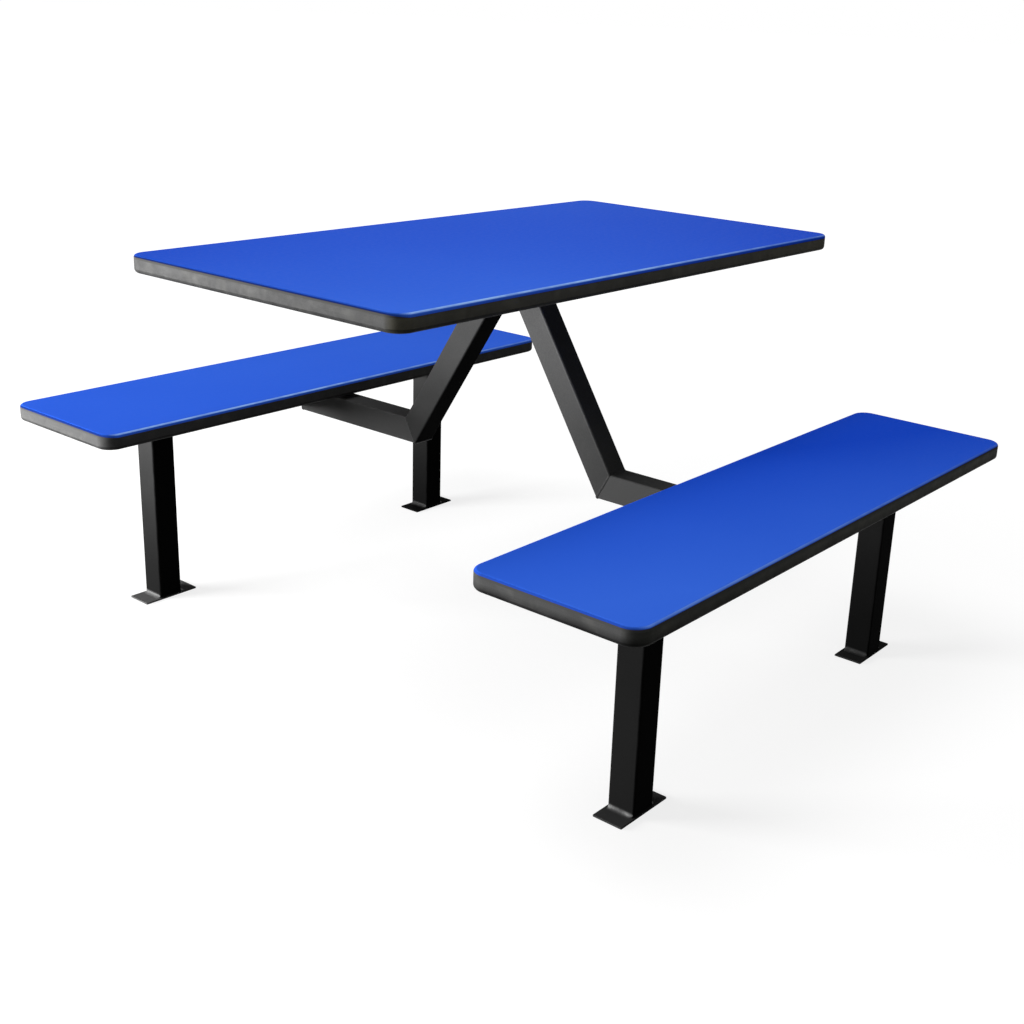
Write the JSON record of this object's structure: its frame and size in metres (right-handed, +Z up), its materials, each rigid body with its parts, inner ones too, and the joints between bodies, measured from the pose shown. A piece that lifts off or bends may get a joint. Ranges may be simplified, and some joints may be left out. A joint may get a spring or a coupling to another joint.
{
  "type": "canteen table with benches",
  "caption": "Fixed canteen table with a blue top and blue bench seats, black edges, and a black welded square-tube frame on foot plates.",
  "frame": {"origin": "on the floor, under the middle of the table", "axes": "+Z up, X along the table and the benches, Y across from bench to bench"},
  "size_m": [1.21, 1.456, 0.75],
  "materials": {
    "blue_sheet": "smooth semi-gloss laminate",
    "board_core": "pressed board",
    "edge_band": "satin moulded edge",
    "backing_sheet": "plain balancing sheet",
    "frame_paint": "semi-gloss black powder coat",
    "tube_plug": "moulded",
    "screw": "zinc plated"
  },
  "bodies": {
    "root": {"front_arm": "frame_paint", "front_diagonal": "frame_paint", "front_left_foot": "frame_paint", "front_left_leg": "frame_paint", "front_right_foot": "frame_paint", "front_right_leg": "frame_paint", "front_seat_backing": "backing_sheet", "front_seat_core": "board_core", "front_seat_edge_band": "edge_band", "front_seat_left_bearer": "frame_paint", "front_seat_left_front_screw": "screw", "front_seat_left_rear_screw": "screw", "front_seat_middle_bearer": "frame_paint", "front_seat_middle_front_screw": "screw", "front_seat_rail": "frame_paint", "front_seat_right_bearer": "frame_paint", "front_seat_right_front_screw": "screw", "front_seat_right_rear_screw": "screw", "front_seat_sheet": "blue_sheet", "left_spine": "frame_paint", "left_spine_plug": "tube_plug", "rear_arm": "frame_paint", "rear_diagonal": "frame_paint", "rear_left_foot": "frame_paint", "rear_left_leg": "frame_paint", "rear_right_foot": "frame_paint", "rear_right_leg": "frame_paint", "rear_seat_backing": "backing_sheet", "rear_seat_core": "board_core", "rear_seat_edge_band": "edge_band", "rear_seat_left_bearer": "frame_paint", "rear_seat_left_front_screw": "screw", "rear_seat_left_rear_screw": "screw", "rear_seat_middle_bearer": "frame_paint", "rear_seat_middle_rear_screw": "screw", "rear_seat_rail": "frame_paint", "rear_seat_right_bearer": "frame_paint", "rear_seat_right_front_screw": "screw", "rear_seat_right_rear_screw": "screw", "rear_seat_sheet": "blue_sheet", "right_spine": "frame_paint", "right_spine_plug": "tube_plug", "table_backing": "backing_sheet", "table_core": "board_core", "table_edge_band": "edge_band", "table_left_bearer": "frame_paint", "table_left_front_screw": "screw", "table_left_rear_screw": "screw", "table_middle_bearer": "frame_paint", "table_middle_front_screw": "screw", "table_middle_rear_screw": "screw", "table_right_bearer": "frame_paint", "table_right_front_screw": "screw", "table_right_rear_screw": "screw", "table_sheet": "blue_sheet"}
  },
  "joints": []
}
